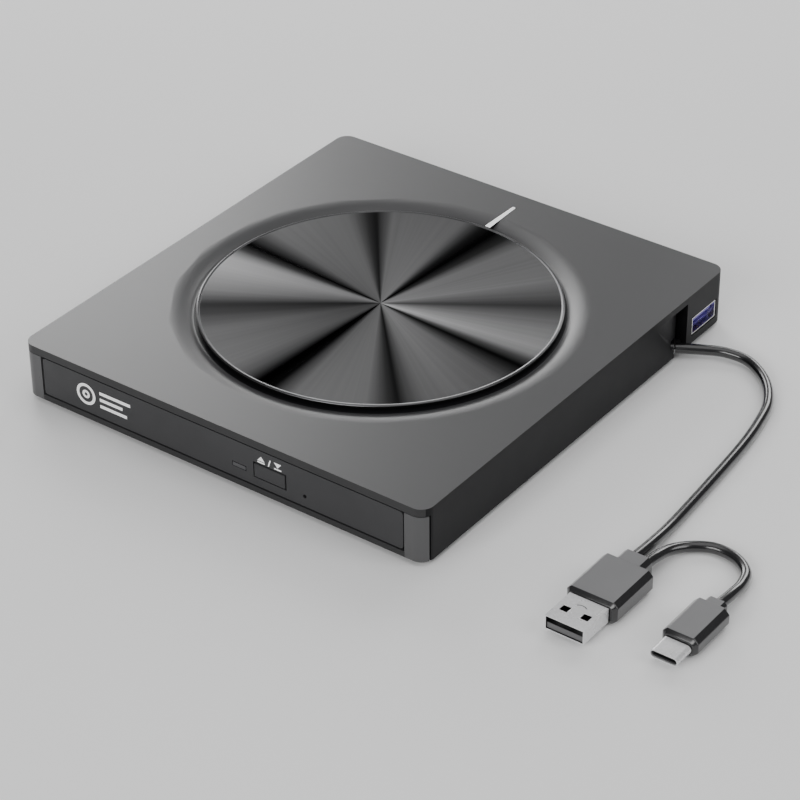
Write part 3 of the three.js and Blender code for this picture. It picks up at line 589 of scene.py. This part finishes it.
# Plug grips lit on top and shaded on the sides, as painted highlight and painted shade.
RELIEF = refine("strain_relief", 0.2, GRIP_PAINTED_SHADE)
GRIP_A = lit_top_shaded_sides(refine("usb_a_grip", 0.3, GRIP, 3, nose=1.1), GRIP, GRIP_PAINTED_SHADE, 4 * MM)
SHELL_A = shade_inside_shell(refine("usb_a_shell", 0.12, PLUG_PLATE), "usb_a_shell")
SEAM_A = seam_arc("usb_a_seam", "usb_a_shell", GRIP, 1.5 * MM, 0.16 * MM)
INSULATOR_A = shade_behind_nose(refine("usb_a_insulator", 0.1, TONGUE), "usb_a_insulator")
GRIP_C = lit_top_shaded_sides(refine("usb_c_grip", 0.3, GRIP, 3, nose=1.1), GRIP, GRIP_PAINTED_SHADE, 3.4 * MM)
SHELL_C = refine("usb_c_shell", 0.1, PLUG_PLATE)
LINER_C = refine("usb_c_liner", 0.05, BLACK)
add_lead("lead_cord", "lead", LEAD_ROUTE)
add_lead("tail_cord", "lead_tail", TAIL_ROUTE)


# ---------------------------------------------------------------- housing

def add_lid():
    """The top shell: deck and moat slope in one finish, and walls and the moat's floor in a darker
    copy as painted shade, with the lip between them in a middle tone, also painted shade.
    """
    lid = refine("top_shell", 0.3, DECK, 3, 50)
    paint(lid, DECK, WALL_PAINTED_SHADE, LIP_PAINTED_SHADE)
    painted_shade_level = SHELL_HIGH.z - 1.75 * MM  # just over the moat's floor, which gets the walls' painted shade
    lip_back = SHELL_LOW.y + 1.5 * MM
    for polygon in lid.data.polygons:
        on_deck = polygon.normal.z > 0.25 and polygon.center.z > painted_shade_level
        on_lip = polygon.normal.y < -0.5 and polygon.center.y < lip_back
        polygon.material_index = 0 if on_deck else 2 if on_lip else 1


def add_disc():
    """The spun disc, with a thin cut chamfer round its rim and a side wall of painted shade."""
    low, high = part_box("spun_disc")
    radius, top, under = DISC_R, high.z, low.z
    face = top - 0.15 * MM
    # Outline as millimetres in from the rim, and up from the underside or from the top
    foot = ((0.3, 0.0), (0.08, 0.08), (0.0, 0.3))
    crown = ((0.0, -0.35), (0.08, -0.2), (0.45, 0.0), (0.6, 0.0), (0.95, -0.15), (1.1, -0.15))
    profile = [(0.2 * MM, under)]
    profile += [(radius - inset * MM, under + rise * MM) for inset, rise in foot]
    profile += [(radius - inset * MM, top + rise * MM) for inset, rise in crown]
    profile += [(radius * part, face) for part in (0.9, 0.7, 0.5, 0.3, 0.1, 0.02, 0.004)]
    rings = [circle_ring(r, z, 240) for r, z in profile]
    piece = link("spun_disc_fine", ring_mesh("spun_disc_fine", rings), "housing",
                 ["spun_disc"])
    paint(piece, DISC_PAINTED_LIGHT, RIM, DISC_SIDE_PAINTED_SHADE)
    rim, edge = radius - 1.0 * MM, top - 0.36 * MM
    for polygon in piece.data.polygons:
        reach = max(math.hypot(*piece.data.vertices[i].co[:2]) for i in polygon.vertices)
        # Faces below the chamfer take the side wall's painted shade.
        if polygon.center.z < edge:
            polygon.material_index = 2
        elif reach > rim:
            polygon.material_index = 1
    smooth(piece, 25)


def add_base():
    """The bottom cover, with its corner columns lighter than its rim and floor: painted highlight
    on the columns and painted shade on the rim and floor.
    """
    base = refine("bottom_cover", 0.2, FRAME_PAINTED_SHADE)
    paint(base, FRAME_PAINTED_SHADE, COLUMN_PAINTED_LIGHT)
    rim_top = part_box("bottom_cover")[0].z + 1.8 * MM
    shape = bmesh.new()
    shape.from_mesh(base.data)
    edge = BEZEL_HIGH.x + 0.6 * MM
    cuts = (((0, 0, rim_top), (0, 0, 1)), ((edge, 0, 0), (1, 0, 0)), ((-edge, 0, 0), (1, 0, 0)))
    for place, across in cuts:
        bmesh.ops.bisect_plane(shape, geom=shape.verts[:] + shape.edges[:] + shape.faces[:],
                               plane_co=place, plane_no=across)
    shape.to_mesh(base.data)
    shape.free()
    # Columns get the painted highlight, the rest the painted shade.
    for polygon in base.data.polygons:
        x, y, z = polygon.center
        at_front = y < BEZEL_LOW.y + 4 * MM
        at_corner = abs(x) > edge and polygon.normal.z > -0.5
        polygon.material_index = 1 if at_front and (z > rim_top or at_corner) else 0


add_lid()
add_disc()
add_base()
refine("disc_carrier", 0.1, BLACK)
# The pointer: white top with a painted glow, sides in black as painted shade.
lit_top_shaded_sides(refine("pointer_window", 0.08, WHITE_PAINTED_GLOW), WHITE_PAINTED_GLOW, BLACK, DECK_Z - 0.5 * MM)
refine("tray_bezel", 0.15, BEZEL)
refine("eject_button", 0.3, BEZEL, 3)
refine("led_lens", 0.1, SMOKE)
refine("usb_socket_shell", 0.08, BRIGHT)
refine("usb_socket_tongue", 0.1, BLUE)


# ---------------------------------------------------------------- printed marks

INK_T = 0.03 * MM
INK_Y = BEZEL_LOW.y  # the bezel's face


def flat_mark(name, outlines):
    """Ink on the bezel's face. Each outline is one loop of (x, z) points, made a thin solid."""
    shape = bmesh.new()
    for outline in outlines:
        rows = [[shape.verts.new((x, y, z)) for x, z in outline] for y in (INK_Y - INK_T, INK_Y)]
        shape.faces.new(rows[0])
        shape.faces.new(list(reversed(rows[1])))
        bridge(shape, rows[1], rows[0])
    piece = link(name, closed_mesh(name, shape), "tray")
    paint(piece, INK_PAINTED_GLOW)


def band(centre, inner, outer, start, stop, steps):
    """An arc-shaped band of ink from one angle to another, in degrees."""
    angles = [math.radians(start + (stop - start) * i / steps) for i in range(steps + 1)]
    far = [(centre[0] + outer * math.cos(a), centre[1] + outer * math.sin(a)) for a in angles]
    near = [(centre[0] + inner * math.cos(a), centre[1] + inner * math.sin(a)) for a in angles]
    return far + near[::-1]


def bar(x0, x1, z0, z1):
    return [(x0, z0), (x1, z0), (x1, z1), (x0, z1)]


def add_marks():
    """A plain disc pictogram on the left, and signs for opening and closing over the button."""
    middle = (BEZEL_LOW.z + BEZEL_HIGH.z) / 2
    disc = (BEZEL_LOW.x + 16.2 * MM, middle)
    rim, hub = (2.6 * MM, 3.5 * MM), (0.6 * MM, 1.35 * MM)  # inner and outer radius
    arcs = [band(disc, *rim, a, a + 89.9, 14) for a in (0, 90, 180, 270)]
    arcs += [band(disc, *hub, a, a + 119.9, 8) for a in (0, 120, 240)]
    left, first, pitch, thick = disc[0] + 5.2 * MM, middle + 1.7 * MM, 2.2 * MM, 1.0 * MM
    dashes = []
    for i, length in enumerate((11.5, 8.5, 10.0)):
        low = first - pitch * i
        dashes.append(bar(left, left + length * MM, low, low + thick))
    flat_mark("disc_pictogram", arcs + dashes)
    low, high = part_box("eject_button")
    x, foot, half = (low.x + high.x) / 2, high.z + 0.75 * MM, 1.25 * MM
    out, back = x - 2.9 * MM, x + 2.9 * MM
    sill, base, tip = foot + 0.4 * MM, foot + 0.7 * MM, foot + 2.2 * MM
    up = [(out - half, base), (out + half, base), (out, tip)]
    down = [(back - half, tip), (back, base), (back + half, tip)]
    lean, stroke = 0.55 * MM, 0.4 * MM
    slash = [(x - lean, foot), (x - lean + stroke, foot), (x + lean, tip), (x + lean - stroke, tip)]
    sills = [bar(c - half, c + half, foot, sill) for c in (out, back)]
    flat_mark("tray_signs", [up, down, slash, *sills])


add_marks()


# ---------------------------------------------------------------- remaining pieces

FINE_BEVEL = {  # millimetres of edge rounding on pieces that keep their drawn shape
    "tray": 0.15, "turntable": 0.12, "rubber_ring": 0.08, "drive_pan": 0.12, "drive_cover": 0.15,
    "guide_left": 0.08, "guide_right": 0.08, "slide_rail_left": 0.12, "slide_rail_right": 0.12,
    "pickup_sled": 0.12, "lens_holder": 0.12, "pickup_frame": 0.1, "spindle_motor": 0.25,
    "tray_belly_plate": 0.08, "latch_lever": 0.12, "solenoid": 0.2, "sled_motor": 0.15,
    "sata_connector": 0.12, "sata_socket": 0.12, "clamp_claw_1": 0.12, "clamp_claw_2": 0.12,
    "clamp_claw_3": 0.12, "main_board": 0.05, "bridge_board": 0.05, "drive_board": 0.05,
    "eject_switch": 0.1, "case_screw_left": 0.15, "case_screw_right": 0.15,
    "foot_rear_left": 0.25, "foot_rear_right": 0.25, "foot_front_left": 0.25,
    "foot_front_right": 0.25,
}
for node, bevel in FINE_BEVEL.items():
    refine(node, bevel, MATERIAL_OF_SLOT[slot_of(node)])


# ---------------------------------------------------------------- small pieces in mesh code

BLOCK_FACES = (
    (0, 2, 3, 1), (4, 5, 7, 6), (0, 1, 5, 4), (2, 6, 7, 3), (0, 4, 6, 2), (1, 3, 7, 5),
)


def block(shape, low, high):
    """Add a closed box between two corners to a shape being built."""
    corners = [shape.verts.new((x, y, z)) for z in (low[2], high[2]) for y in (low[1], high[1])
               for x in (low[0], high[0])]
    for face in BLOCK_FACES:
        shape.faces.new([corners[i] for i in face])


def blocks_piece(name, boxes, body, material, bevel=0.0, turn=None):
    """Separate bevelled blocks as one piece; each is (low corner, high corner), in metres."""
    shape = bmesh.new()
    for low, high in boxes:
        block(shape, low, high)
    if turn:
        bmesh.ops.transform(shape, matrix=turn, verts=shape.verts)
    if bevel:
        bmesh.ops.bevel(shape, geom=shape.edges[:], offset=bevel, segments=2, affect="EDGES",
                        clamp_overlap=True)
    piece = link(name, closed_mesh(name, shape), body)
    paint(piece, material)
    smooth(piece, 30)


def screw_head(name, x, y, top, body, radius, up=1):
    """A low domed head with a cross recess, looking up or down, at a point on its top."""
    arm, half_slot, depth = 0.62 * radius, 0.17 * radius, 0.35 * radius
    dome = ((1.0, 0.55), (1.0, 0.3), (0.86, 0.08), (0.72, 0.0))  # reach and drop, in radii
    shape = bmesh.new()
    rows = []
    for reach, drop in dome:
        ring = circle_ring(reach * radius, -drop * radius, 32)
        rows.append([shape.verts.new(p) for p in ring])
    for low, high in zip(rows, rows[1:]):
        bridge(shape, low, high)
    shape.faces.new(list(reversed(rows[0])))
    quarter = [(half_slot, -half_slot), (arm, -half_slot), (arm, half_slot)]
    cross = []
    for _ in range(4):
        cross += quarter
        quarter = [(-py, px) for px, py in quarter]
    rim = [shape.verts.new((px, py, 0)) for px, py in cross]
    pit = [shape.verts.new((0.8 * px, 0.8 * py, -depth)) for px, py in cross]
    bridge(shape, rim, pit)
    shape.faces.new(pit)
    border = [e for e in shape.edges if len(e.link_faces) == 1]
    bmesh.ops.triangle_fill(shape, edges=border, use_beauty=True)
    if up < 0:
        bmesh.ops.scale(shape, vec=(1, 1, -1), verts=shape.verts)
    bmesh.ops.translate(shape, vec=(x, y, top), verts=shape.verts)
    piece = link(name, closed_mesh(name, shape), body)
    paint(piece, STEEL)
    smooth(piece, 30)


# ---------------------------------------------------------------- socket

def add_socket_inside():
    """A blue lining and four contacts inside the wall socket's shell."""
    low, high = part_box("usb_socket_shell")
    tongue_low, tongue_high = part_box("usb_socket_tongue")
    sheet, lining, gap, mouth = 0.4 * MM, 0.25 * MM, 0.05 * MM, 2.2 * MM
    x0, x1 = low.x + sheet + 2 * gap, high.x - mouth
    y0, y1 = low.y + sheet + gap, high.y - sheet - gap
    z0, z1 = low.z + sheet + gap, high.z - sheet - gap
    walls = [((x0, y0, z0), (x1, y1, z0 + lining)), ((x0, y0, z0), (x1, y0 + lining, z1)),
             ((x0, y1 - lining, z0), (x1, y1, z1)), ((x0, y0, z0), (x0 + lining, y1, z1))]
    blocks_piece("usb_socket_lining", walls, "housing", BLUE)
    count, pitch, half = 4, 2.4 * MM, 0.5 * MM
    root, tip = tongue_low.x + 2 * MM, tongue_high.x - 0.8 * MM
    under = tongue_low.z - 0.02 * MM
    middle = (low.y + high.y) / 2
    contacts = []
    for i in range(count):
        y = middle + (i - (count - 1) / 2) * pitch
        contacts.append(((root, y - half, under - 0.2 * MM), (tip, y + half, under)))
    blocks_piece("usb_socket_contacts", contacts, "housing", GOLD, 0.05 * MM)


add_socket_inside()


# ---------------------------------------------------------------- underside

def add_underside():
    """A label with plain bars for its lines of text, and a cross recess in each case screw."""
    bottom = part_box("bottom_cover")[0].z + 0.12 * MM
    half, front, back = 33.6 * MM, -23.6 * MM, 19.6 * MM  # the label's edges
    corner_r, film = 1.5 * MM, 0.1 * MM
    x, y0, y1 = half - corner_r, front + corner_r, back - corner_r
    outline = []
    for cx, cy, start in ((x, y1, 0), (-x, y1, 90), (-x, y0, 180), (x, y0, 270)):
        for i in range(7):
            a = math.radians(start + 15 * i)
            outline.append((cx + corner_r * math.cos(a), cy + corner_r * math.sin(a)))
    rings = [[(px, py, z) for px, py in outline] for z in (bottom, bottom + film)]
    label = link("base_label", ring_mesh("base_label", rings), "housing")
    paint(label, LABEL)
    left, first, pitch, thick = -28 * MM, 12 * MM, 7 * MM, 0.8 * MM
    rules = []
    for i, length in enumerate((40, 52, 46, 30)):
        y = first - pitch * i
        rules.append(((left, y, bottom - 0.03 * MM), (left + length * MM, y + thick, bottom)))
    blocks_piece("label_rules", rules, "housing", BLACK)
    for side in ("left", "right"):
        low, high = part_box("case_screw_" + side)
        x, y = (low.x + high.x) / 2, (low.y + high.y) / 2
        screw_head("case_screw_head_" + side, x, y, low.z - 0.02 * MM, "housing", 1.9 * MM, -1)


add_underside()


# ---------------------------------------------------------------- pickup mechanism

TURNTABLE_LOW, TURNTABLE_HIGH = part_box("turntable")
HUB = Vector(((TURNTABLE_LOW.x + TURNTABLE_HIGH.x) / 2,
              (TURNTABLE_LOW.y + TURNTABLE_HIGH.y) / 2, 0))
# The mechanism's own frame: u runs along the rods, away from the hub, and t across them.
MECH = Matrix.Translation(HUB) @ Matrix.Rotation(math.radians(225), 4, "Z")
LENS_U = 23 * MM
SCREW_T = -21 * MM
ROD_T = 17 * MM
ROD_Z = 6.6 * MM


def mech_point(u, t, z):
    return MECH @ Vector((u, t, z))


def rod_point(u, t, radius, a):
    """A point round a line along the mechanism, at the height of its rods."""
    return tuple(mech_point(u, t + radius * math.cos(a), ROD_Z + radius * math.sin(a)))


def add_screw_thread():
    """The lead screw with its rolled thread, in place of the plain rod."""
    start, stop = 9.9 * MM, 51.9 * MM
    core, crest, pitch = 0.95 * MM, 1.15 * MM, 3.0 * MM
    sides, steps = 20, 168
    rings = []
    for i in range(steps + 1):
        u = start + (stop - start) * i / steps
        ring = []
        for a in around(sides):
            wave = math.cos(a + 2 * math.pi * u / pitch)
            radius = core + (crest - core) * max(0.0, wave) ** 2
            ring.append(rod_point(u, SCREW_T, radius, a))
        rings.append(ring)
    piece = link("lead_screw_thread", ring_mesh("lead_screw_thread", rings), "lead_screw",
                 ["lead_screw"])
    paint(piece, BRIGHT)
    smooth(piece, 60)


def add_guide_rods():
    """The two ground rods, with chamfered ends."""
    profile = ((5.6, 0.8), (5.8, 1.0), (59.3, 1.0), (59.5, 0.8))  # place and radius
    for name, t in (("guide_rod_rear", -ROD_T), ("guide_rod_front", ROD_T)):
        rings = [[rod_point(u * MM, t, radius * MM, a) for a in around(28)]
                 for u, radius in profile]
        piece = link(name + "_fine", ring_mesh(name + "_fine", rings), body_of(name),
                     [name])
        paint(piece, BRIGHT)
        smooth(piece, 30)


def add_lens():
    """A moulded aspheric lens with its flat flange."""
    profile = ((2.0, 7.65), (2.0, 8.35), (1.85, 8.45), (1.55, 8.45), (1.45, 8.6), (1.25, 8.9),
               (0.95, 9.12), (0.55, 9.25), (0.12, 9.29))  # radius and height
    rings = []
    for radius, z in profile:
        rings.append([tuple(mech_point(LENS_U + radius * MM * math.cos(a),
                                       radius * MM * math.sin(a), z * MM))
                      for a in around(40)])
    piece = link("lens_fine", ring_mesh("lens_fine", rings), body_of("lens"),
                 ["lens"])
    paint(piece, LENS)
    smooth(piece, 35)


def add_sled_details():
    """A pressed cover round the lens, and its two screws."""
    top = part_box("pickup_sled")[1].z
    under, upper = top + 0.02 * MM, top + 0.22 * MM
    spans = ((18.4, 19.2, -10.8, 10.8), (27.0, 28.2, -10.8, 10.8),
             (19.2, 27.0, -10.8, -5.4), (19.2, 27.0, 5.4, 10.8))  # along u, and along t
    boxes = [((u0 * MM, t0 * MM, under), (u1 * MM, t1 * MM, upper)) for u0, u1, t0, t1 in spans]
    blocks_piece("sled_cover", boxes, "pickup_sled", STEEL, turn=MECH)
    for i, t in enumerate((-8.6, 8.6)):
        place = mech_point(LENS_U, t * MM, 0)
        screw_head(f"sled_screw_{i + 1}", place.x, place.y, upper + 0.4 * MM, "pickup_sled",
                   0.9 * MM)


def add_frame_screws():
    """Screws that hold the pickup frame up against the tray."""
    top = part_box("pickup_frame")[1].z
    for i, (u, t) in enumerate(((12.0, 19.95), (62.0, -10.0), (40.0, 19.95))):
        place = mech_point(u * MM, t * MM, 0)
        screw_head(f"frame_screw_{i + 1}", place.x, place.y, top + 0.25 * MM, "tray", 0.8 * MM)


def add_spring():
    """The open coil round the eject rod, in place of its sleeve."""
    low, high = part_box("eject_spring")
    x, z = (low.x + high.x) / 2, (low.z + high.z) / 2
    wire, turns, per_turn = 0.2 * MM, 11, 16
    radius = (high.x - low.x) / 2 - wire
    span = high.y - low.y - 2 * wire
    points = []
    for i in range(turns * per_turn + 1):
        a = 2 * math.pi * i / per_turn
        y = low.y + wire + span * i / (turns * per_turn)
        points.append(Vector((x + radius * math.cos(a), y, z + radius * math.sin(a))))
    spring = curve_piece("eject_spring_coil", points, wire, body_of("eject_spring"), STEEL,
                         3)
    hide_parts("eject_spring")


def add_flex_ribbon():
    """The flat ribbon from the fixed board to the tray, as one straight strip."""
    low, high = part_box("flex_ribbon")
    steps = 48
    rings = []
    for i in range(steps + 1):
        y = low.y + (high.y - low.y) * i / steps
        rings.append([(low.x, y, low.z), (high.x, y, low.z), (high.x, y, high.z),
                      (low.x, y, high.z)])
    strip = ring_mesh("flex_ribbon_strip", rings)
    strip.materials.append(COPPER)
    piece = bpy.data.objects.new("flex_ribbon_strip", strip)
    bpy.context.scene.collection.objects.link(piece)
    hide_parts("flex_ribbon")
    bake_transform(piece)


def add_board_parts():
    """Chips and small parts on the tray's main board."""
    low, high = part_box("main_board")
    top, gap = high.z, 0.02 * MM
    chips = []
    sizes = ((6, 8, 10, 10, 0.9), (20, 9, 7, 5, 0.7), (8, 26, 9, 7, 0.8), (22, 27, 5, 5, 0.8))
    for x, y, w, d, h in sizes:
        corner = (low.x + x * MM, low.y + y * MM, top + gap)
        chips.append((corner, (corner[0] + w * MM, corner[1] + d * MM, top + h * MM)))
    blocks_piece("board_chips", chips, "tray", BLACK, 0.08 * MM)
    small = []
    for _ in range(26):
        x = low.x + random.uniform(2, 29) * MM
        y = low.y + random.choice((3.5, 21.0, 36.5)) * MM + random.uniform(-1, 1) * MM
        small.append(((x, y, top + gap), (x + 1.0 * MM, y + 0.5 * MM, top + 0.45 * MM)))
    blocks_piece("board_passives", small, "tray", COPPER)


add_screw_thread()
add_guide_rods()
add_lens()
add_sled_details()
add_frame_screws()
add_spring()
add_flex_ribbon()
add_board_parts()

for node, piece in NODES.items():
    if not piece.hide_render:
        paint(piece, MATERIAL_OF_SLOT[slot_of(node)])


# ---------------------------------------------------------------- studio

def area_light(name, place, aim, size, power):
    data = bpy.data.lights.new(name, "AREA")
    data.shape = "RECTANGLE"
    data.size, data.size_y = size
    data.energy = power
    lamp = bpy.data.objects.new(name, data)
    bpy.context.scene.collection.objects.link(lamp)
    lamp.location = place
    lamp.rotation_euler = (Vector(place) - Vector(aim)).to_track_quat("Z", "Y").to_euler()


def studio():
    """A pale floor under a dim even sky, and soft lamps that draw the dark finishes' shape."""
    half, level = 3.0, TABLE_Z - 0.1 * MM
    corners = [(-half, -half), (half, -half), (half, half), (-half, half)]
    floor = bmesh.new()
    floor.faces.new([floor.verts.new((x, y, level)) for x, y in corners])
    mesh = bpy.data.meshes.new("floor")
    floor.to_mesh(mesh)
    floor.free()
    piece = bpy.data.objects.new("floor", mesh)
    bpy.context.scene.collection.objects.link(piece)
    paper, nodes, links, shader = node_material("pale_paper", (0.92, 0.92, 0.92), 0.8)
    tooth = add_noise(nodes, links, scale=300)
    add_bump(nodes, links, shader, tooth, strength=0.05, distance=0.5 * MM)
    mesh.materials.append(paper)
    world = bpy.data.worlds.new("studio")
    world.use_nodes = True
    sky = world.node_tree.nodes["Background"]
    sky.inputs["Color"].default_value = (0.92, 0.92, 0.93, 1)
    sky.inputs["Strength"].default_value = 0.15
    bpy.context.scene.world = world
    middle = (0, 0, 0)
    area_light("key_back_left", (-0.58, 0.42, 0.36), middle, (0.33, 0.45), 1.5)
    area_light("left_softbox", (-0.75, 0.51, 0.45), middle, (0.35, 0.35), 0.9)
    area_light("back_softbox", (-1.30, 1.45, 1.30), middle, (0.90, 0.90), 0.8)
    area_light("back_strip", (-0.05, 0.78, 0.48), middle, (0.34, 0.35), 2.0)
    area_light("horizon_softbox", (-1.15, 1.05, 0.24), middle, (1.10, 0.42), 7.0)
    area_light("right_fill", (0.70, 0.10, 0.45), middle, (0.40, 0.40), 1.6)
    area_light("front_fill", (0.10, -0.90, 0.50), middle, (0.80, 0.40), 5.5)
    area_light("top_softbox", (0.10, 0.00, 1.20), middle, (1.20, 1.20), 5.0)


studio()
